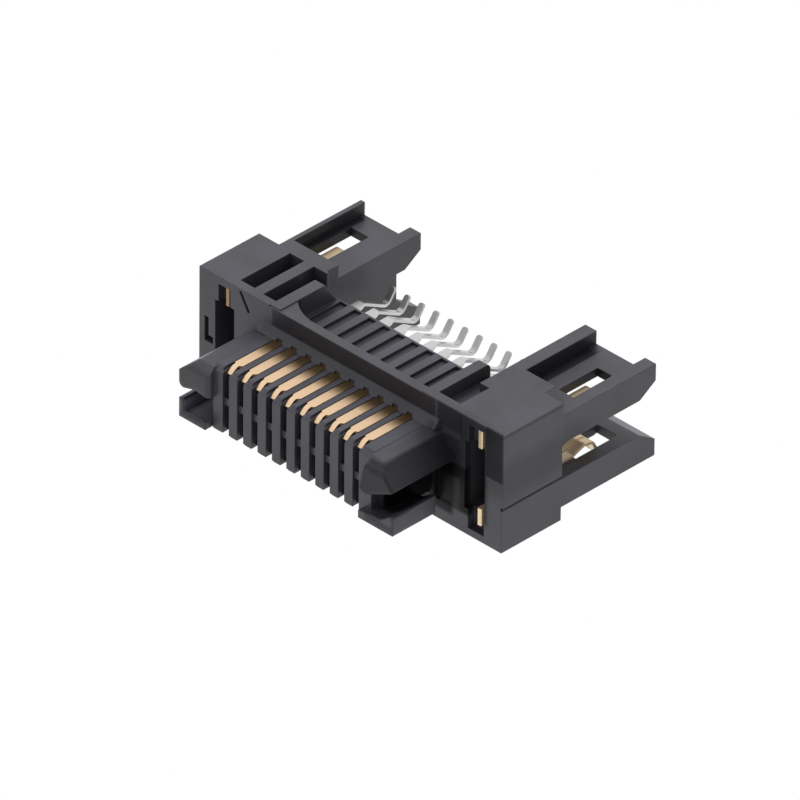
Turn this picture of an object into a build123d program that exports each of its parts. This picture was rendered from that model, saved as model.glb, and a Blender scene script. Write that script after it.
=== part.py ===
# Straddle-mount board-to-board header with power contacts in both ends.
# Millimetres. X runs along the contact rows, Y from the mating face to the
# circuit board, Z up. The origin is in the middle of the end pods' front face.
import os
from build123d import *

os.makedirs("parts", exist_ok=True)

# rows of signal contacts
PITCH = 1.27
COUNT = 10
ROW_SHIFT = -0.12        # the rows sit a little off the middle of the housing
BOARD_HALF = 0.785       # half of a 1.57 mm circuit board

# end pods and the wall between them
POD_OUT = 13.35          # outer side of a pod
POD_IN = 7.54            # inner side of a pod
POD_DEEP = 5.25          # front face to rear face
POD_HALF = 4.375         # half the height
WALL_THICK = 0.68
WALL_HALF = 4.29
PANEL_OUT = 0.1          # side panel of the right pod stands out by this
PANEL_LOW = -1.02
PANEL_GROOVE = 0.12

# body between the pods
DECK_HALF = 2.85
POCKET_WIDE = 0.64       # row of narrow pockets in the deck, one per contact
POCKET_SHIFT = 0.18
POCKET_DEEP = 0.2
POCKET_START = 2.1
POCKET_RIM = 0.16

# plug tongue
TONGUE_LONG = 5.1
TONGUE_HALF = 2.45
TONGUE_SIDE = 6.95
NOSE_TOP = 0.35          # chamfers on the front edges
NOSE_LOW = 0.17
SLOT_WIDE = 0.55
SLOT_DEEP = 1.15
RIB_ROUND = 0.24         # lower corners of the ribs between the slots
WEB_HALF = 0.26
WEB_BACK = 0.2
SIDE_GAP = 0.07          # beside a contact strip in its groove
SLOPE_UP = 0.58          # sloped foot where the tongue meets the wall
SLOPE_OUT = 0.5
SLOPE_SIDE = 7.8
ALCOVE_WIDE = 0.5
ALCOVE_DEEP = 0.16
ALCOVE_UP = 0.2

# guide wings beside the tongue
WING_OUT = 9.38
WING_FLAT = 8.08         # where the flat top ends and the slope begins
WING_NOSE = 5.67
WING_TOP = 2.3
WING_LEAD = 0.6          # lead-in at the front of the top
WING_FLOOR = 0.55
WING_WEB_START = 4.4
LIP_THICK = 0.32
LIP_TOP = -1.0

# strip of a signal contact
STRIP = 0.2
BLADE_WIDE = 0.7
TIP_IN, TIP_OUT = 0.23, 0.15     # tip's reach to -X and +X of the middle line
TAIL_WIDE = 0.42
TIP_Y, TIP_Z = -4.72, 1.98       # middle line at the tip's lower end
BEND_Y = -4.22
SHOULDER = 0.25                  # where the strip widens, behind the bend
JOG_START, JOG_END = 1.6, 3.0    # the strip steps down inside the body
TAIL_Z = 1.9                     # middle line where the tail leaves the body
NECK_Y = 6.95
SEAT_Y = 8.9
FLARE_Y, FLARE_Z = 9.53, 1.93
BEND_ROUND = 0.22

# arms that straddle the board
ARM_END = 12.5
TOOTH_END = 13.54
TOOTH_WIDE = 0.95
PLATE_TOP = 3.41
PLATE_THICK = 0.64
GAP_HALF = 1.3                   # half of the slot between the arms
TOOTH_LOW = 2.19
TOOTH_ROOT = 12.15
RAIL_LOW = 2.38
ROOT_END = 6.25
WINDOW_START = 7.2
BACK_LOW = 1.8
LOWER_CHAMFER = 0.43

# power contacts
BLADE_THICK = 0.36
UPPER_BLADE = (2.45, 3.82)       # lower and upper edge, in Z
LOWER_BLADE = (2.05, 3.3)        # the same, measured downwards
BLADE_START = 0.1
HOLD = 4.45                      # where the blade joins the spring
FOOT = 0.4
SPRING_HIGH_Z = 2.5              # middle line of the upper spring's straight part
SPRING_LOW_Z = 1.2               # the same of the lower spring
SPRING_REACH = 9.2
SPRING_ROUND = 0.3
SPRING_SLIT = 0.12
SOFT_END = 3.2                   # end of the pocket's soft slope
MOUTH_DEEP = 0.55                # shallow front pocket round a blade's end

LEFT, RIGHT = -1, 1

# Arm sizes: sides in X, rail width, window, and the wall between the arms.
ARMS = {
    LEFT: dict(x0=-11.6, x1=-7.33, rail=0.34, root=-7.33, root_foot=-7.33, win0=-10.87, win1=-9.3,
               win_end=10.87, bridge0=-8.27, bridge1=-7.33, bridge_end=11.4,
               low0=-10.87, low1=-9.3, blade=-11.13, spring=1.44,
               spring_side=0.08),
    RIGHT: dict(x0=8.11, x1=13.25, rail=0.98, root=11.7, root_foot=12.45, win0=11.03, win1=12.29,
                win_end=10.64, bridge0=8.11, bridge1=9.09, bridge_end=7.6,
                low0=10.55, low1=12.29, blade=11.03, spring=1.06,
                spring_side=0.2),
}


def box(x0, x1, y0, y1, z0, z1):
    return Pos((x0 + x1) / 2, (y0 + y1) / 2, (z0 + z1) / 2) * Box(
        abs(x1 - x0), abs(y1 - y0), abs(z1 - z0))


def outline(points, rounds=None):
    """Closed outline; rounds gives a radius for some of its corners."""
    face = make_face(Polyline(*points, close=True))
    for k, radius in (rounds or {}).items():
        corner = face.vertices().sort_by_distance(Vector(*points[k]))[0]
        face = fillet(corner, radius)
    return face


def across(face, x0, x1):
    """Prism of a (y, z) outline, run along X."""
    return extrude(Pos(x0, 0, 0) * (Plane.YZ * face), amount=x1 - x0)


def along(face, y0, y1):
    """Prism of an (x, z) outline, run along Y."""
    return extrude(Pos(0, y0, 0) * (Plane.XZ * face), amount=y0 - y1)


def upright(face, z0, z1):
    """Prism of an (x, y) outline, run along Z."""
    return extrude(Pos(0, 0, z0) * face, amount=z1 - z0)


def formed(points, radius):
    """Side view of a strip of even thickness, bent along a middle line."""
    line = FilletPolyline(*points, radius=radius)
    return make_face(offset(line, amount=STRIP / 2, side=Side.BOTH))


def below(shape):
    """The same shape on the lower side."""
    return mirror(shape, about=Plane.XY)


def both(shape):
    return [shape, below(shape)]


def contact_x(i):
    return (i - (COUNT - 1) / 2) * PITCH + ROW_SHIFT


# signal contacts

def strip_line():
    """Middle line of an upper signal contact, tip to tail."""
    flat = TONGUE_HALF - STRIP / 2
    seat = BOARD_HALF + STRIP / 2
    return [(TIP_Y, TIP_Z), (BEND_Y, flat), (JOG_START, flat), (JOG_END, TAIL_Z),
            (NECK_Y, TAIL_Z), (SEAT_Y, seat), (FLARE_Y, FLARE_Z)]


def contact_plan(x):
    """Width of the contact seen from above, as a prism to keep."""
    half, tail = BLADE_WIDE / 2, TAIL_WIDE / 2
    front, rear = TIP_Y, FLARE_Y + 0.3
    wide = BEND_Y + SHOULDER
    points = [(x - TIP_IN, front), (x + TIP_OUT, front), (x + TIP_OUT, wide - 0.06),
              (x + half, wide), (x + half, NECK_Y - 0.45), (x + tail, NECK_Y - 0.15),
              (x + tail, rear), (x - tail, rear), (x - tail, NECK_Y + 0.4),
              (x - half, NECK_Y + 0.1), (x - half, wide), (x - TIP_IN, wide - 0.04)]
    return upright(outline(points), -0.5, POD_HALF)


def signal_contact(i):
    x = contact_x(i)
    side = across(formed(strip_line(), BEND_ROUND), x - BLADE_WIDE, x + BLADE_WIDE)
    return side & contact_plan(x)


def contact_channel(i):
    """Space the contact fills inside the housing, from the same middle line."""
    x = contact_x(i)
    inside = [(BEND_Y - 0.3, TONGUE_HALF - STRIP / 2)] + strip_line()[2:4] + [(POD_DEEP + 1, TAIL_Z)]
    return across(formed(inside, BEND_ROUND), x - BLADE_WIDE / 2, x + BLADE_WIDE / 2)


# power contacts

def high_spring():
    """Upper spring: straight under the arm, folded back down to the board."""
    crest = BOARD_HALF + STRIP / 2
    return [(HOLD + FOOT / 2, SPRING_HIGH_Z), (SPRING_REACH + 0.4, SPRING_HIGH_Z), (SPRING_REACH + 0.8, 1.85),
            (SPRING_REACH - 0.45, crest - 0.05), (SPRING_REACH - 1.0, crest + 0.45)]


def low_spring():
    """Lower spring: straight on the arm, with an arch that meets the board."""
    crest = BOARD_HALF + STRIP / 2
    return [(HOLD + FOOT / 2, SPRING_LOW_Z), (SPRING_REACH - 1.75, SPRING_LOW_Z),
            (SPRING_REACH - 0.75, crest - 0.04), (SPRING_REACH, crest + 0.1),
            (SPRING_REACH + 0.55, crest + 1.1)]


def power_spans(side):
    """Places in X of the blade and of the spring."""
    a = ARMS[side]
    s1 = a["win1"] - a["spring_side"]
    return a["blade"], a["blade"] + BLADE_THICK, s1 - a["spring"], s1


def held_part(side, edges, strip_z, grow=0.0):
    """Upright and foot that join the blade and the spring inside the pod."""
    b0, b1, s0, s1 = power_spans(side)
    z0, z1 = strip_z - STRIP / 2, strip_z + STRIP / 2
    upright_part = box(b0, b1, HOLD - grow, HOLD + FOOT, z0, edges[1])
    foot = box(min(b0, s0), s1, HOLD - grow, HOLD + FOOT, z0, z1)
    return upright_part, foot


def power_contact(side, edges, line, strip_z):
    b0, b1, s0, s1 = power_spans(side)
    blade = box(b0, b1, BLADE_START, HOLD + FOOT, edges[0], edges[1])
    blade = chamfer(blade.edges().filter_by(Axis.Z).group_by(Axis.Y)[0], 0.06)
    upright_part, foot = held_part(side, edges, strip_z)
    spring = across(formed(line, SPRING_ROUND), s0, s1)
    slit_x = s0 + 0.3 * (s1 - s0)
    slit = box(slit_x, slit_x + SPRING_SLIT, 6.6, ARM_END, 0, SPRING_HIGH_Z - STRIP)
    return blade + upright_part + foot + (spring - slit)


def power_channel(side, edges, strip_z):
    b0, b1, s0, s1 = power_spans(side)
    blade = box(b0, b1, MOUTH_DEEP - 0.01, HOLD + FOOT, edges[0], edges[1])
    held = box(s0, s1, HOLD, POD_DEEP + 0.001, strip_z - STRIP / 2, strip_z + STRIP / 2)
    upright_part, foot = held_part(side, edges, strip_z, 0.001)
    return [blade, held, upright_part, foot]


# housing

def pods():
    left = box(-POD_OUT, -POD_IN, 0, POD_DEEP, -POD_HALF, POD_HALF)
    right = box(POD_IN, POD_OUT - PANEL_OUT, 0, POD_DEEP, -POD_HALF, POD_HALF)
    panel = box(POD_IN, POD_OUT, 0, POD_DEEP - 0.05, PANEL_LOW, POD_HALF)
    return [left, right, panel]


def panel_groove():
    """Fine groove under the side panel of the right pod."""
    low = PANEL_LOW - PANEL_GROOVE
    return box(POD_OUT - PANEL_OUT - PANEL_GROOVE, POD_OUT + 1, -1, POD_DEEP + 1, low, PANEL_LOW)


def tongue():
    """Tongue with its row of slots open to the front, ribs rounded below."""
    side = outline([(-TONGUE_LONG, -TONGUE_HALF + NOSE_LOW),
                    (-TONGUE_LONG, TONGUE_HALF - NOSE_TOP),
                    (-TONGUE_LONG + NOSE_TOP, TONGUE_HALF), (0.1, TONGUE_HALF),
                    (0.1, -TONGUE_HALF), (-TONGUE_LONG + NOSE_LOW, -TONGUE_HALF)])
    body = across(side, -TONGUE_SIDE, TONGUE_SIDE)
    slots = []
    for i in range(COUNT):
        x0, x1 = contact_x(i) - SLOT_WIDE / 2, contact_x(i) + SLOT_WIDE / 2
        slot_end = SLOT_DEEP - TONGUE_LONG
        slots += both(box(x0, x1, -TONGUE_LONG - 1, slot_end, WEB_HALF, TONGUE_HALF + 1))
        slots.append(box(x0, x1, -TONGUE_LONG - 1, WEB_BACK - TONGUE_LONG, -WEB_HALF, WEB_HALF))
    body = body.cut(*slots)
    lower = [e for e in body.edges().filter_by(Axis.Y)
             if abs(e.center().Z + TONGUE_HALF) < 0.01 and abs(e.center().X) < TONGUE_SIDE - 0.1]
    return fillet(lower, RIB_ROUND)


def centre_body():
    wall = box(-POD_IN - 0.1, POD_IN + 0.1, 0, WALL_THICK, -WALL_HALF, WALL_HALF)
    deck = box(-POD_IN - 0.1, POD_IN + 0.1, 0, POD_DEEP, -DECK_HALF, DECK_HALF)
    foot = across(outline([(0.1, -TONGUE_HALF - SLOPE_UP), (0, -TONGUE_HALF - SLOPE_UP),
                           (-SLOPE_OUT, -TONGUE_HALF), (-SLOPE_OUT, TONGUE_HALF),
                           (0, TONGUE_HALF + SLOPE_UP), (0.1, TONGUE_HALF + SLOPE_UP)]),
                  -SLOPE_SIDE, SLOPE_SIDE)
    return [wall, deck, foot]


def deck_pockets():
    cuts = []
    for i in range(COUNT):
        x = contact_x(i) + POCKET_SHIFT
        pocket = box(x - POCKET_WIDE / 2, x + POCKET_WIDE / 2, POCKET_START,
                     POD_DEEP - POCKET_RIM, DECK_HALF - POCKET_DEEP, DECK_HALF + 1)
        cuts += both(pocket)
    return cuts


def corner_web():
    """Rounded corner between the left block and the wall's rear, seen from above."""
    line = ThreePointArc((-6.35, 1.7), (-5.35, 1.02), (-3.4, WALL_THICK))
    back = Polyline((-3.4, WALL_THICK), (-3.4, 0.3), (-6.35, 0.3), (-6.35, 1.7))
    return upright(make_face(Curve() + [line, back]), 0, WALL_HALF)


def upper_blocks():
    """Blocks beside the deck: the pocketed block, and the fin with its floor."""
    block = across(outline([(0.1, 0), (0.1, POD_HALF), (4.04, POD_HALF), (5.15, 2.7),
                            (POD_DEEP, 2.7), (POD_DEEP, 0)]), -7.2, -6.3)
    block_wide = box(-POD_IN - 0.1, -7.18, 0, POD_DEEP, 0, POD_HALF)
    fin = across(outline([(0, 0), (0, POD_HALF), (5.2, POD_HALF), (5.2, 0)], {2: 0.35}), 6.26, 7.05)
    floor = box(7.0, 8.2, 0, POD_DEEP, 0, 3.34)
    edge = box(6.26, 8.2, 0, WALL_THICK, 0, POD_HALF)
    out = []
    for shape in (block, block_wide, fin, floor, edge, corner_web()):
        out += both(shape)
    return out


def top_pockets():
    """Core-outs in the pods' top and bottom."""
    cuts = [box(-10.41, -9.15, 0.7, POD_DEEP + 0.12, 2.9, 5),
            box(-8.3, -7.18, 0.6, 5.05, 2.9, 5)]
    out = []
    for shape in cuts:
        out += both(shape)
    return out


def soft_pocket():
    """Pocket beside the fin: its outer side rises in a soft slope to the top."""
    face = outline([(7.05, 6), (7.05, 3.34), (7.75, 3.34), (8.95, POD_HALF), (8.95, 6)], {2: 0.9})
    inner = ARMS[RIGHT]["x0"]
    straight = box(7.05, inner, WALL_THICK, POD_DEEP + 0.1, 3.34, 6)
    return both(along(face, WALL_THICK, SOFT_END)) + both(straight)


def front_openings():
    """Front slots of the power contacts, the key groove and the slit."""
    cuts = []
    cuts.append(panel_groove())
    cuts += both(box(10.33, 11.73, -1, MOUTH_DEEP, 2.0, 3.84))
    cuts.append(box(10.0, 11.77, -1, HOLD, -2.45, 2.52))
    cuts += both(box(-11.65, -10.58, -1, MOUTH_DEEP, 2.0, 3.84))
    cuts.append(box(-11.94, -10.25, -1, HOLD, -2.45, 2.55))
    cuts.append(box(-12.88, -12.52, -1, 0.9, -0.5, 0.92))
    cuts.append(box(-12.88, -12.12, -1, 0.9, -0.93, -0.42))
    cuts.append(Pos(-9.34, 0, 3.56) * Rot(0, -31.5, 0) * Box(0.24, 1.2, 1.48))
    return cuts


def arm_window(side):
    a = ARMS[side]
    return box(a["win0"], a["win1"], WINDOW_START, a["win_end"], 0, 6)


def upper_arm(side):
    """Plate with a window, a rail along one side and a toothed wall along the other."""
    a = ARMS[side]
    x0, x1 = a["x0"], a["x1"]
    under = PLATE_TOP - PLATE_THICK
    front = POD_DEEP - 0.2
    plate = box(x0, x1, front, ARM_END, under, PLATE_TOP)
    rail = box(x0, x0 + a["rail"], front, ARM_END, RAIL_LOW, POD_HALF)
    side_wall = across(outline([(front, GAP_HALF), (TOOTH_ROOT, GAP_HALF), (TOOTH_END, TOOTH_LOW),
                                (TOOTH_END, PLATE_TOP), (front, PLATE_TOP)]), x1 - TOOTH_WIDE, x1)
    root = along(outline([(x0, under), (x0, POD_HALF), (a["root"], POD_HALF),
                          (a["root_foot"], PLATE_TOP), (a["root_foot"], under)]), front, ROOT_END)
    back = box(x0, x1, ARM_END - 0.3, ARM_END, BACK_LOW, PLATE_TOP)
    return (plate + rail + root + back) - arm_window(side) + side_wall


def lower_arm(side):
    """Plate next to the board, chamfered at the rear, with the toothed wall under it."""
    a = ARMS[side]
    x0, x1 = a["x0"], a["x1"]
    front = POD_DEEP - 0.2
    flat_end = ARM_END - LOWER_CHAMFER
    plate = across(outline([(front, -GAP_HALF), (flat_end, -GAP_HALF),
                            (ARM_END, -GAP_HALF - LOWER_CHAMFER * 0.8),
                            (ARM_END, -GAP_HALF - PLATE_THICK), (front, -GAP_HALF - PLATE_THICK)]),
                   x0, x1)
    window = box(a["low0"], a["low1"], WINDOW_START + 0.3, a["win_end"] + 0.52, -3, 0)
    rail = box(x0, x0 + a["rail"], front, ARM_END, -PLATE_TOP, -GAP_HALF - 0.3)
    side_wall = across(outline([(front, -GAP_HALF), (TOOTH_ROOT, -GAP_HALF),
                                (TOOTH_END, -TOOTH_LOW), (TOOTH_END, -PLATE_TOP),
                                (front, -PLATE_TOP)]), x1 - TOOTH_WIDE, x1)
    return plate - window + rail + side_wall


def bridge(side):
    """Wall that joins the two arms of one end on their inner side."""
    a = ARMS[side]
    return box(a["bridge0"], a["bridge1"], POD_DEEP - 0.2, a["bridge_end"],
               -GAP_HALF - 0.3, RAIL_LOW + 0.1)


def wing(side):
    """Guide wing: sloped flange above, floor with an outer lip below."""
    s = side
    top_line = 0.95 * WING_LEAD
    if side == RIGHT:
        flange = outline([(7.0, WING_TOP + 0.12), (WING_FLAT, WING_TOP), (WING_OUT, 0.85),
                          (7.07, -0.25), (6.75, -0.23), (6.45, 0.0)], {1: 0.25, 2: 0.12})
        floor = outline([(6.38, -WING_TOP), (WING_OUT, -WING_TOP), (WING_OUT, LIP_TOP),
                         (WING_OUT - 0.25, LIP_TOP), (8.3, -1.6), (6.38, WING_FLOOR - WING_TOP)],
                        {4: 0.7})
        lower = [along(floor, -WING_NOSE, -1.9)]
    else:
        flange = outline([(-6.8, WING_TOP), (-WING_FLAT, WING_TOP), (-WING_OUT, 1.2),
                          (-WING_OUT, -0.12), (-7.96, 0.28), (-6.8, 0.1)], {3: 0.35, 2: 0.12})
        floor = box(-7.08, -WING_OUT, -WING_NOSE, -1.8, -WING_TOP, WING_FLOOR - WING_TOP)
        lip = across(outline([(-WING_NOSE, -WING_TOP), (-1.8, -WING_TOP), (-3.1, LIP_TOP + 0.1),
                              (-WING_NOSE, LIP_TOP + 0.1)]), LIP_THICK - WING_OUT, -WING_OUT)
        lower = [floor, lip]
    lead = across(outline([(-WING_NOSE - 1, WING_TOP - top_line - 0.1),
                           (-WING_NOSE, WING_TOP - top_line - 0.1),
                           (-WING_NOSE + WING_LEAD, WING_TOP + 0.1),
                           (-WING_NOSE + WING_LEAD, 3.5), (-WING_NOSE - 1, 3.5)]), s * 5, s * 10)
    web = box(s * 6.8, s * 7.4, -WING_WEB_START, 0, -WING_TOP, WING_TOP)
    body = along(flange, -WING_NOSE, 0.1)
    if side == LEFT:
        body = fillet(body.edges().filter_by(Axis.Z).group_by(Axis.Y)[0].sort_by(Axis.X)[-1], 0.35)
    return [body - lead, web] + lower


def contact_grooves():
    """Grooves in the tongue's faces, their notches in the foot, and the channels behind."""
    cuts = []
    for i in range(COUNT):
        x = contact_x(i)
        half = BLADE_WIDE / 2 + SIDE_GAP
        groove = box(x - half, x + half, -TONGUE_LONG - 1, -SLOPE_OUT,
                     TONGUE_HALF - STRIP, TONGUE_HALF + 1)
        alcove = box(x - ALCOVE_WIDE / 2, x + ALCOVE_WIDE / 2, -SLOPE_OUT - 0.01,
                     -SLOPE_OUT + ALCOVE_DEEP, TONGUE_HALF - 0.01, TONGUE_HALF + ALCOVE_UP)
        for shape in (groove, alcove, contact_channel(i)):
            cuts += both(shape)
    return cuts


def housing():
    solids = pods() + centre_body() + upper_blocks() + [tongue()]
    for side in (LEFT, RIGHT):
        solids += wing(side)
    body = solids[0].fuse(*solids[1:])
    body = body.cut(*(deck_pockets() + top_pockets() + front_openings()))
    arms = []
    for side in (LEFT, RIGHT):
        arms += [upper_arm(side), lower_arm(side), bridge(side)]
    body = body.fuse(*arms)
    cuts = contact_grooves() + soft_pocket()
    for side in (LEFT, RIGHT):
        cuts += power_channel(side, UPPER_BLADE, SPRING_HIGH_Z)
        cuts += [below(shape) for shape in power_channel(side, LOWER_BLADE, SPRING_LOW_Z)]
    return body.cut(*cuts)


def save(shape, name):
    export_step(shape, f"parts/{name}.step")
    print(name, len(shape.solids()), round(shape.volume, 3))


def main():
    save(housing(), "housing")
    for i in range(COUNT):
        top = signal_contact(i)
        save(top, f"contact_top_{i + 1:02d}")
        save(below(top), f"contact_bottom_{i + 1:02d}")
    for side, word in ((LEFT, "left"), (RIGHT, "right")):
        save(power_contact(side, UPPER_BLADE, high_spring(), SPRING_HIGH_Z), f"power_top_{word}")
        save(below(power_contact(side, LOWER_BLADE, low_spring(), SPRING_LOW_Z)), f"power_bottom_{word}")


main()
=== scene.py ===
from functools import reduce
import math

import bmesh
import bpy
from mathutils import Matrix, Vector

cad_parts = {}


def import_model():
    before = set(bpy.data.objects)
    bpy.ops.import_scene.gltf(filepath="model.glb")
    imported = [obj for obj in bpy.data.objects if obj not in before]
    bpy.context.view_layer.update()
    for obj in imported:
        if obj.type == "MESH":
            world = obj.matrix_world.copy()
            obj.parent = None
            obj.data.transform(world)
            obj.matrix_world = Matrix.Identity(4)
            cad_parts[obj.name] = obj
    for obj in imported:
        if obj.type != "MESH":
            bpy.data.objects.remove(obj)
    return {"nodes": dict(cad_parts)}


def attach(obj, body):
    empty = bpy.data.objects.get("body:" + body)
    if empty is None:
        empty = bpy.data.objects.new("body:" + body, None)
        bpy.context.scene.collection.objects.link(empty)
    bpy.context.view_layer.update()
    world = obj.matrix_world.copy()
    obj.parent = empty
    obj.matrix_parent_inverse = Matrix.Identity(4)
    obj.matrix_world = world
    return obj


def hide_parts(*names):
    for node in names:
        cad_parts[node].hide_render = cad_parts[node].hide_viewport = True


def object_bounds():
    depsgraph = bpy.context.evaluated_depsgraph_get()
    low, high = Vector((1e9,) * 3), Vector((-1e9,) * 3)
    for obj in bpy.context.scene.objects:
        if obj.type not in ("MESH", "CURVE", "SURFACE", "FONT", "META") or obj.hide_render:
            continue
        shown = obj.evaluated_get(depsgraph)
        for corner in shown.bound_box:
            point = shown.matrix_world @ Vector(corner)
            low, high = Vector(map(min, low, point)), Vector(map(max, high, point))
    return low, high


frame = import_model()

CAD_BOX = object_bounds()
MM = 0.001

# The photograph's camera, fitted to the part's edges.
IMAGE_SIZE = 800
VIEW_AZIMUTH = math.radians(44.63)
VIEW_ELEVATION = math.radians(33.89)
VIEW_ROLL = math.radians(0.557)
PIXELS_PER_MM = 16.107
VIEW_DISTANCE = 1205 * MM
ORIGIN_PIXEL = (350.18, 409.39)
SENSOR = 36.0

# Floor, and lamps: name, place and width in metres, power in watts.
FLOOR_DROP = 0.02 * MM
FLOOR_SIZE = 400 * MM
LAMPS = [("key", (-0.10, 0.06, 0.22), 0.16, 0.62), ("fill", (-0.12, -0.24, 0.10), 0.16, 0.12)]
LAMP_TARGET = (0, 4 * MM, 0)

# Light that reaches matt surfaces from the table and from all round.
FLOOR_LEVEL = 0.95
WORLD_LEVEL = 0.40

# Signal contact, in millimetres: places along Y and heights of its middle line,
# with the radius of each bend between them.
PITCH = 1.27
COUNT = 10
ROW_SHIFT = -0.12
STRIP_HALF = 0.1
STRIP_LINE = [(-4.72, 1.98), (-4.22, 2.35), (1.6, 2.35), (3.0, 1.9),
              (6.95, 1.9), (8.95, 0.84), (9.69, 1.86)]
STRIP_BENDS = [0.5, 0.3, 0.3, 0.5, 0.42]
BLADE_HALF = 0.35
TAIL_HALF = 0.2
LEAST_HALF = 0.03
TIP_LEFT, TIP_RIGHT = 0.23, 0.15
SHOULDER_LEFT, SHOULDER_RIGHT = (-4.01, -3.95), (-4.10, -3.95)
NECK_LEFT, NECK_RIGHT = (7.0, 7.4), (6.5, 6.85)
BEND_STEPS = 7
END_STEPS = 6
SMOOTH_BELOW = math.radians(35)

# Moulded details, in millimetres: outline, and the span that it runs over.
ARM_SLOPE = [(12.0, -1.31), (12.14, -1.31), (13.54, -2.19), (13.54, -2.8),
             (12.2, -1.93), (12.0, -1.93)]
ARM_SLOPE_SPAN = (8.12, 12.31)
TONGUE_FILLET = [(6.90, 2.2), (6.90, 2.447), (7.03, 2.42), (7.03, 2.2)]
TONGUE_FILLET_SPAN = (-4.76, -0.45)

# Places on the moulding that are painted darker or lighter, mostly where the photograph has
# a shadow or a bright face. Each has its spans along X, Y and Z and its soft edge, one or
# three, in millimetres, and the share of light that it keeps. Left is -X.
ZONES = {
    "pocket floors in the deck": ((-6.4, 6.2), (2.0, 5.2), (2.6, 2.74), 0.03, 0.66),
    "groove under the right side panel": ((13.15, 13.5), (-0.1, 5.3), (-1.3, -1.03), 0.02, 0.3),
    "top edge of the right side": ((13.3, 13.5), (-0.1, 5.3), (4.14, 4.3), 0.04, 0.62),
    "front of the wall": ((-6.9, 7.4), (-0.06, 0.06), (3.0, 4.25), 0.05, 0.48),
    "sloped foot of the wall": ((-7.6, 7.6), (-0.6, 0.02), (2.46, 3.05), 0.03, 0.84),
    "round corner behind the wall": ((-6.5, -3.2), (0.5, 1.9), (2.87, 4.25), 0.03, 0.5),
    "window of the left arm": ((-11.3, -9.2), (7.0, 11.0), (2.6, 3.38), 0.04, 0.6),
    "left arm beside its rail": ((-11.3, -10.86), (6.2, 12.1), (3.38, 3.5), 0.03, 0.42),
    "inner face of the left rail": ((-11.3, -11.2), (6.2, 12.4), (3.38, 4.34), 0.04, 0.6),
    "front of the left floor": ((-9.6, -6.85), (-5.8, -5.6), (-2.4, -1.8), 0.03, 0.66),
    "left floor": ((-9.0, -6.95), (-5.4, -1.8), (-1.9, -1.6), (0.05, 0.2, 0.05), 1.7),
    "inner face of the left lip": ((-9.2, -8.98), (-5.56, -1.8), (-1.95, -1.1), 0.03, 3.0),
    "nose of the left wing": ((-9.6, -6.9), (-5.9, -5.0), (-0.3, 1.9), 0.12, 0.78),
    "middle of the right side": ((12.0, 15.0), (-2.0, 7.5), (-0.6, 2.2), 0.6, 0.76),
    "right front over the wing": ((7.6, 9.7), (-0.1, 0.5), (2.75, 4.3), 0.1, 0.45),
    "right front beside its opening": ((9.6, 11.9), (-0.1, 0.5), (-2.9, 4.3), 0.12, 0.5),
    "right front under the wing": ((6.0, 9.0), (-0.6, 0.5), (-3.55, -2.6), 0.15, 0.25),
    "inner wall of the right hollow": ((7.3, 7.5), (-4.4, 0.05), (-2.6, 0.3), 0.04, 0.5),
    "window end of the right arm": ((10.9, 12.4), (10.5, 10.8), (1.3, 3.35), 0.05, 0.5),
    "lower right front": ((6.9, 11.9), (-0.3, 0.5), (-3.0, 0.4), (0.3, 0.3, 0.14), 0.35),
    "right front beyond its opening": ((11.85, 13.3), (-0.3, 0.15), (0.75, 4.4), 0.05, 0.36),
    "root of the right arm": ((11.72, 12.5), (5.2, 6.3), (3.43, 4.34), 0.02, 1.5),
    "right arm beside its rail": ((8.9, 9.9), (5.6, 11.95), (3.3, 3.46), (0.04, 0.3, 0.03), 0.3),
    "inner face of the right rail": ((9.05, 9.13), (6.0, 12.4), (3.4, 4.33), 0.04, 0.42),
    "nose of the right wing": ((6.3, 9.6), (-5.9, -5.45), (-0.6, 2.25), 0.06, 0.46),
    "right wing behind its nose": ((7.0, 9.6), (-5.45, 0.05), (-0.6, 2.25), 0.08, 0.52),
    "root of the right wing": ((7.15, 9.6), (-2.4, 0.3), (-0.6, 2.8), (0.25, 1.9, 0.1), 0.46),
    "hollow under the right wing": ((7.2, 9.1), (-4.6, 0.05), (-2.6, 0.3), 0.15, 0.25),
    "front of the right floor": ((6.9, 9.3), (-5.9, -5.5), (-4.3, -1.7), 0.05, 0.64),
}

# Edges of the moulding: radius all over, what the wings' noses add, and where the noses begin.
EDGE_ROUND = 0.07 * MM
SOFT_NOSE = 0.30 * MM
NOSE_ACROSS = (7.2 * MM, 7.4 * MM)
NOSE_ALONG = (-3.6 * MM, -4.4 * MM)

# Plastic in linear colours, with its noise scales per metre.
PLASTIC_DARK = (0.038, 0.038, 0.046, 1.0)
PLASTIC_LIGHT = (0.054, 0.053, 0.066, 1.0)
PLASTIC_ROUGH = (0.34, 0.48)
GLOSS = 0.45
CLOUD_SCALE = 260.0
CLOUD_SPREAD = (0.35, 0.65)
GRAIN_SCALE = 7000.0
GRAIN_SHARE = 0.6

# Metals in linear colours, with their noise scales per metre.
GOLD = (0.87, 0.62, 0.40, 1.0)
# Gold in painted shadow, used near the wall and on the left pod's blades.
GOLD_IN_SHADOW = (0.34, 0.22, 0.11, 1.0)
GOLD_SHADED = (0.06, 0.05, 0.04, 1.0)
TIN = (0.62, 0.61, 0.61, 1.0)
# Tin in painted shade, for the upturned flares of the tails.
TIN_IN_SHADE = (0.42, 0.42, 0.42, 1.0)
SPRING_WARM = (0.94, 0.70, 0.42, 1.0)
SPRING_PALE = (1.0, 0.82, 0.56, 1.0)
SPRING_METALLIC = 0.45
PLATED_ROUGH = (0.26, 0.38)
SPRING_ROUGH = (0.25, 0.42)
METAL_EDGE = 0.03 * MM
WAVE_SCALE = 900.0
FINE_SCALE = 9000.0
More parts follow.
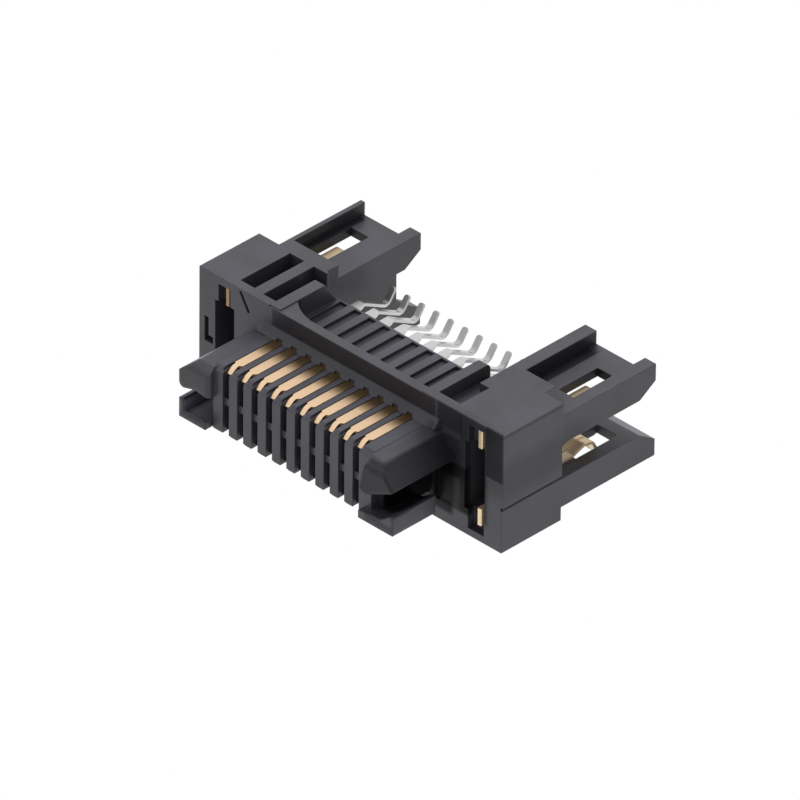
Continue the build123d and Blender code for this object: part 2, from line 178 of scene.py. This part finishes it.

# Along a contact: where the gold fades into painted shadow, where the finish changes to tin, and
# where the tin of the flares turns to painted shade. Then spans in millimetres of metal painted
# darker as painted shade.
GOLD_SHADOW_FADE = (-2.3 * MM, -1.2 * MM)
TIN_FADE = (4.6 * MM, 4.9 * MM)
FLARE_SHADE_FADE = (8.7 * MM, 9.2 * MM)
LOW_TIP_Y, LOW_TIP_Z = (-6.0, -4.25), (-3.0, -1.5)
LEFT_BLADE_X, LEFT_BLADE_Y = (-14.0, -5.0), (-1.0, 4.0)
PATCH_SOFT = 0.05

WHITE = (1.0, 1.0, 1.0, 1.0)


class Nodes:
    """Adds and joins the nodes of one material or world."""

    def __init__(self, tree):
        self.tree = tree
        tree.nodes.clear()

    def feed(self, socket, value):
        """Join an output to the socket, or set the socket's own value."""
        if isinstance(value, bpy.types.NodeSocket):
            self.tree.links.new(value, socket)
        else:
            socket.default_value = value

    def add(self, kind, **values):
        """New node: each value goes to the socket of that name, or is a setting of the node."""
        node = self.tree.nodes.new(kind)
        for name, value in values.items():
            socket = name.replace("_", " ")
            if socket in node.inputs:
                self.feed(node.inputs[socket], value)
            else:
                setattr(node, name, value)
        return node

    def math(self, operation, *values):
        node = self.add("ShaderNodeMath", operation=operation)
        for socket, value in zip(node.inputs, values):
            self.feed(socket, value)
        return node.outputs["Value"]

    def product(self, values):
        return reduce(lambda first, second: self.math("MULTIPLY", first, second), values)

    def stretch(self, value, source=(0.0, 1.0), target=(0.0, 1.0)):
        """Carry a value from one range to another."""
        node = self.add("ShaderNodeMapRange", Value=value, From_Min=source[0], From_Max=source[1],
                        To_Min=target[0], To_Max=target[1])
        return node.outputs["Result"]

    def blend(self, factor, first, second):
        node = self.add("ShaderNodeMix", data_type="RGBA", Factor=factor, A=first, B=second)
        return node.outputs["Result"]

    def noise(self, place, scale):
        node = self.add("ShaderNodeTexNoise", Vector=place, Scale=scale, Detail=2.0)
        return node.outputs["Fac"]

    def place(self):
        """Place on the object in metres, whole and split into X, Y and Z."""
        whole = self.add("ShaderNodeTexCoord").outputs["Object"]
        return whole, self.add("ShaderNodeSeparateXYZ", Vector=whole).outputs

    def surface(self, **values):
        """Principled surface, joined to the material's output."""
        shader = self.add("ShaderNodeBsdfPrincipled", **values)
        self.add("ShaderNodeOutputMaterial", Surface=shader.outputs["BSDF"])
        return shader


def new_material(name):
    material = bpy.data.materials.new(name)
    material.use_nodes = True
    return material, Nodes(material.node_tree)


def inside(n, value, span, soft):
    """1 inside a span along one axis, 0 outside, with soft ends."""
    low, high = span
    up = n.stretch(value, ((low - soft) * MM, (low + soft) * MM))
    down = n.stretch(value, ((high + soft) * MM, (high - soft) * MM))
    return n.math("MULTIPLY", up, down)


def zone_shade(n, apart):
    """Product of all zones: the share of light that each place keeps."""
    levels = []
    for *spans, soft, share in ZONES.values():
        softs = soft if isinstance(soft, tuple) else (soft, soft, soft)
        where = n.product([inside(n, apart[axis], span, end)
                           for axis, span, end in zip("XYZ", spans, softs)])
        levels.append(n.math("MULTIPLY_ADD", where, share - 1, 1.0))
    return n.product(levels)


def nose_softness(n, apart):
    """Edge radius: small all over, larger on the noses of the two wings."""
    off = n.stretch(n.math("ABSOLUTE", apart["X"]), NOSE_ACROSS)
    front = n.stretch(apart["Y"], NOSE_ALONG)
    return n.math("MULTIPLY_ADD", n.math("MULTIPLY", off, front), SOFT_NOSE, EDGE_ROUND)


def moulded_plastic():
    """Charcoal plastic with a fine matt grain and softly rounded edges, and painted shade and
    painted light in the listed zones.
    """
    material, n = new_material("moulded_plastic")
    place, apart = n.place()
    cloud = n.noise(place, CLOUD_SCALE)
    grain = n.noise(place, GRAIN_SCALE)
    speckle = n.math("MULTIPLY_ADD", grain, GRAIN_SHARE, -GRAIN_SHARE / 2)
    spread = n.stretch(n.math("ADD", cloud, speckle), CLOUD_SPREAD)
    colour = n.blend(spread, PLASTIC_DARK, PLASTIC_LIGHT)
    # Painted shade and painted light: the grain colour is scaled by each zone's share.
    shade = zone_shade(n, apart)
    painted_shade_colour = n.add("ShaderNodeVectorMath", operation="SCALE", Vector=colour, Scale=shade)
    edge = n.add("ShaderNodeBevel", samples=8, Radius=nose_softness(n, apart))
    bump = n.add("ShaderNodeBump", Strength=0.35, Distance=0.02 * MM,
                 Normal=edge.outputs["Normal"], Height=grain)
    shader = n.surface(Base_Color=painted_shade_colour.outputs["Vector"], Specular_IOR_Level=GLOSS,
                       Roughness=n.stretch(grain, target=PLASTIC_ROUGH),
                       Normal=bump.outputs["Normal"])
    # The gloss is scaled by the same painted shade and painted light.
    n.feed(shader.inputs["Specular IOR Level"], n.math("MULTIPLY", shade, GLOSS))
    return material


def plated_metal():
    """Contact strip: gold at the mating end, fading to painted shadow near the wall, matt tin at the
    tail with painted shade on the flares, and painted shade on the lower row's tips.
    """
    material, n = new_material("plated_metal")
    place, apart = n.place()
    # The gold fades into painted shadow towards the wall.
    gold = n.blend(n.stretch(apart["Y"], GOLD_SHADOW_FADE), GOLD, GOLD_IN_SHADOW)
    # The tin turns to painted shade on the flares.
    tin = n.blend(n.stretch(apart["Y"], FLARE_SHADE_FADE), TIN, TIN_IN_SHADE)
    colour = n.blend(n.stretch(apart["Y"], TIN_FADE), gold, tin)
    # Painted shade: the lower row's tips in the slot bottoms are painted near black.
    low_tip = n.math("MULTIPLY", inside(n, apart["Y"], LOW_TIP_Y, PATCH_SOFT),
                     inside(n, apart["Z"], LOW_TIP_Z, PATCH_SOFT))
    edge = n.add("ShaderNodeBevel", samples=4, Radius=METAL_EDGE)
    bump = n.add("ShaderNodeBump", Strength=0.15, Distance=0.01 * MM,
                 Normal=edge.outputs["Normal"], Height=n.noise(place, FINE_SCALE))
    n.surface(Metallic=1.0, Base_Color=n.blend(low_tip, colour, GOLD_SHADED),
              Roughness=n.stretch(n.noise(place, WAVE_SCALE), target=PLATED_ROUGH),
              Normal=bump.outputs["Normal"])
    return material


def spring_metal():
    """End contacts: pale gold, with painted shade on the blades in the left pod's front."""
    material, n = new_material("spring_metal")
    place, apart = n.place()
    wavy = n.noise(place, WAVE_SCALE)
    colour = n.blend(wavy, SPRING_WARM, SPRING_PALE)
    # Painted shade on the blades in the left pod's front.
    left_blades = n.math("MULTIPLY", inside(n, apart["X"], LEFT_BLADE_X, PATCH_SOFT),
                         inside(n, apart["Y"], LEFT_BLADE_Y, PATCH_SOFT))
    edge = n.add("ShaderNodeBevel", samples=4, Radius=METAL_EDGE)
    n.surface(Metallic=SPRING_METALLIC, Base_Color=n.blend(left_blades, colour, GOLD_IN_SHADOW),
              Roughness=n.stretch(wavy, target=SPRING_ROUGH), Normal=edge.outputs["Normal"])
    return material


def bent_line(points, bends):
    """The middle line's corners rounded into arcs."""
    line = [Vector(points[0])]
    for k, radius in enumerate(bends):
        before, corner, after = (Vector(p) for p in points[k:k + 3])
        back, on = (before - corner).normalized(), (after - corner).normalized()
        half = back.angle(on) / 2
        centre = corner + (back + on).normalized() * radius / math.sin(half)
        start = corner + back * radius / math.tan(half) - centre
        end = corner + on * radius / math.tan(half) - centre
        turn = start.angle_signed(end)
        for step in range(BEND_STEPS + 1):
            line.append(centre + Matrix.Rotation(-turn * step / BEND_STEPS, 2) @ start)
    return line + [Vector(points[-1])]


def with_stops(line, stops):
    """Add points to the line where the strip's width changes."""
    out = [line[0]]
    for a, b in zip(line, line[1:]):
        for stop in sorted(stops):
            if a.x < stop < b.x:
                out.append(a.lerp(b, (stop - a.x) / (b.x - a.x)))
        out.append(b)
    return out


def rounded_end(line, radius):
    """Split the last run so that the strip's end can be rounded in plan."""
    a, b = line[-2], line[-1]
    run = (b - a).length
    reach = [radius * (1 - math.sin(math.pi / 2 * k / END_STEPS)) for k in range(END_STEPS + 1)]
    return line[:-1] + [a.lerp(b, 1 - d / run) for d in sorted(reach, reverse=True)]


def ramp(place, stops, low, high):
    share = min(max((place - stops[0]) / (stops[1] - stops[0]), 0), 1)
    return low + (high - low) * share


def strip_sides(point, end):
    """How far the strip reaches to the left and right of its middle at one place."""
    if point.x < 0:
        sides = [ramp(point.x, SHOULDER_LEFT, TIP_LEFT, BLADE_HALF),
                 ramp(point.x, SHOULDER_RIGHT, TIP_RIGHT, BLADE_HALF)]
    else:
        sides = [ramp(point.x, NECK_LEFT, BLADE_HALF, TAIL_HALF),
                 ramp(point.x, NECK_RIGHT, BLADE_HALF, TAIL_HALF)]
    left = (end - point).length
    if left < TAIL_HALF:
        across = math.sqrt(max(TAIL_HALF ** 2 - (TAIL_HALF - left) ** 2, LEAST_HALF ** 2))
        sides = [min(side, across) for side in sides]
    return sides


def swept_form(rings):
    """Closed form through rings of corners given in millimetres."""
    form = bmesh.new()
    loops = [[form.verts.new([value * MM for value in corner]) for corner in ring] for ring in rings]
    count = len(loops[0])
    for a, b in zip(loops, loops[1:]):
        for k in range(count):
            form.faces.new((a[k], a[(k + 1) % count], b[(k + 1) % count], b[k]))
    form.faces.new(loops[0])
    form.faces.new(loops[-1])
    bmesh.ops.recalc_face_normals(form, faces=form.faces)
    return form


def new_piece(name, form, material):
    mesh = bpy.data.meshes.new(name)
    form.to_mesh(mesh)
    form.free()
    mesh.materials.append(material)
    piece = bpy.data.objects.new(name, mesh)
    bpy.context.scene.collection.objects.link(piece)
    return piece


def strip_form(x, sign):
    """A formed contact: its four edges swept along the middle line."""
    line = with_stops(bent_line(STRIP_LINE, STRIP_BENDS),
                      SHOULDER_LEFT + SHOULDER_RIGHT + NECK_LEFT + NECK_RIGHT)
    line = rounded_end(line, TAIL_HALF)
    rings = []
    for k, point in enumerate(line):
        run = line[min(k + 1, len(line) - 1)] - line[max(k - 1, 0)]
        out = Vector((-run.y, run.x)).normalized() * STRIP_HALF
        left, right = strip_sides(point, line[-1])
        corners = [(x - left, point + out), (x + right, point + out),
                   (x + right, point - out), (x - left, point - out)]
        rings.append([(across, p.x, sign * p.y) for across, p in corners])
    form = swept_form(rings)
    for face in form.faces:
        face.smooth = True
    for edge in form.edges:
        edge.smooth = edge.calc_face_angle(0) < SMOOTH_BELOW
    return form


def formed_contacts(material):
    for i in range(COUNT):
        x = (i - (COUNT - 1) / 2) * PITCH + ROW_SHIFT
        for row, sign in (("top", 1), ("bottom", -1)):
            piece = new_piece(f"strip_{row}_{i + 1:02d}", strip_form(x, sign), material)
            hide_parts(f"contact_{row}_{i + 1:02d}")
            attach(piece, "root")


def moulded_details(material):
    """Small forms of the moulding: an arm's sloped rear edge along X and a fillet along Y."""
    slope = [[(end, y, z) for y, z in ARM_SLOPE] for end in ARM_SLOPE_SPAN]
    fillet = [[(x, end, z) for x, z in TONGUE_FILLET] for end in TONGUE_FILLET_SPAN]
    for name, rings in (("arm_rear_slope", slope), ("tongue_side_fillet", fillet)):
        piece = new_piece(name, swept_form(rings), material)
        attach(piece, "root")


def dress_nodes():
    plastic, plated, spring = moulded_plastic(), plated_metal(), spring_metal()
    formed_contacts(plated)
    moulded_details(plastic)
    for name, node in frame["nodes"].items():
        if name.startswith("contact"):
            material = plated
        elif name.startswith("power"):
            material = spring
        else:
            material = plastic
        node.data.materials.clear()
        node.data.materials.append(material)


def backdrop(n, kind, level, output):
    """White to the camera, reflections and clear pieces, and a plain level elsewhere."""
    path = n.add("ShaderNodeLightPath").outputs
    seen = n.math("MAXIMUM", path["Is Camera Ray"], path["Is Transmission Ray"])
    mix = n.add("ShaderNodeMixShader", Fac=n.math("MAXIMUM", seen, path["Is Glossy Ray"]))
    for socket, strength in zip(mix.inputs[1:], (level, 1.0)):
        n.feed(socket, n.add(kind, Color=WHITE, Strength=strength).outputs[0])
    n.add(output, Surface=mix.outputs[0])


def floor():
    low = CAD_BOX[0][2] - FLOOR_DROP
    bpy.ops.mesh.primitive_plane_add(size=FLOOR_SIZE, location=(0, 0, low))
    plane = bpy.context.object
    plane.name = "floor"
    material, n = new_material("floor_white")
    backdrop(n, "ShaderNodeEmission", FLOOR_LEVEL, "ShaderNodeOutputMaterial")
    plane.data.materials.append(material)


def world():
    studio = bpy.data.worlds.new("studio")
    bpy.context.scene.world = studio
    studio.use_nodes = True
    backdrop(Nodes(studio.node_tree), "ShaderNodeBackground", WORLD_LEVEL, "ShaderNodeOutputWorld")


def softbox(name, place, size, power):
    """Square lamp that looks at the part and isn't seen in its reflections."""
    data = bpy.data.lights.new(name, "AREA")
    data.shape = "SQUARE"
    data.size = size
    data.energy = power
    lamp = bpy.data.objects.new(name, data)
    lamp.visible_glossy = False
    bpy.context.scene.collection.objects.link(lamp)
    lamp.location = place
    aim = Vector(LAMP_TARGET) - Vector(place)
    lamp.rotation_euler = aim.to_track_quat("-Z", "Y").to_euler()


def lights():
    for name, place, size, power in LAMPS:
        softbox(name, place, size, power)


def camera():
    """Camera at the photograph's angle, so the origin lands on its measured pixel."""
    towards = Vector((math.sin(VIEW_AZIMUTH) * math.cos(VIEW_ELEVATION),
                      -math.cos(VIEW_AZIMUTH) * math.cos(VIEW_ELEVATION),
                      math.sin(VIEW_ELEVATION)))
    level = Vector((math.cos(VIEW_AZIMUTH), math.sin(VIEW_AZIMUTH), 0))
    rise = towards.cross(level)
    right = math.cos(VIEW_ROLL) * level + math.sin(VIEW_ROLL) * rise
    up = -math.sin(VIEW_ROLL) * level + math.cos(VIEW_ROLL) * rise
    half = IMAGE_SIZE / 2
    shift_right = (half - ORIGIN_PIXEL[0]) / PIXELS_PER_MM * MM
    shift_up = (ORIGIN_PIXEL[1] - half) / PIXELS_PER_MM * MM
    place = towards * VIEW_DISTANCE + right * shift_right + up * shift_up
    data = bpy.data.cameras.new("photo_camera")
    data.sensor_fit = "HORIZONTAL"
    data.sensor_width = SENSOR
    data.lens = PIXELS_PER_MM * VIEW_DISTANCE / MM * SENSOR / IMAGE_SIZE
    data.clip_end = 10.0
    view = bpy.data.objects.new("photo_camera", data)
    bpy.context.scene.collection.objects.link(view)
    axes = Matrix((right, up, towards)).transposed().to_4x4()
    view.matrix_world = Matrix.Translation(place) @ axes
    bpy.context.scene.camera = view


bpy.context.scene.view_settings.view_transform = "Standard"
dress_nodes()
floor()
world()
lights()
camera()
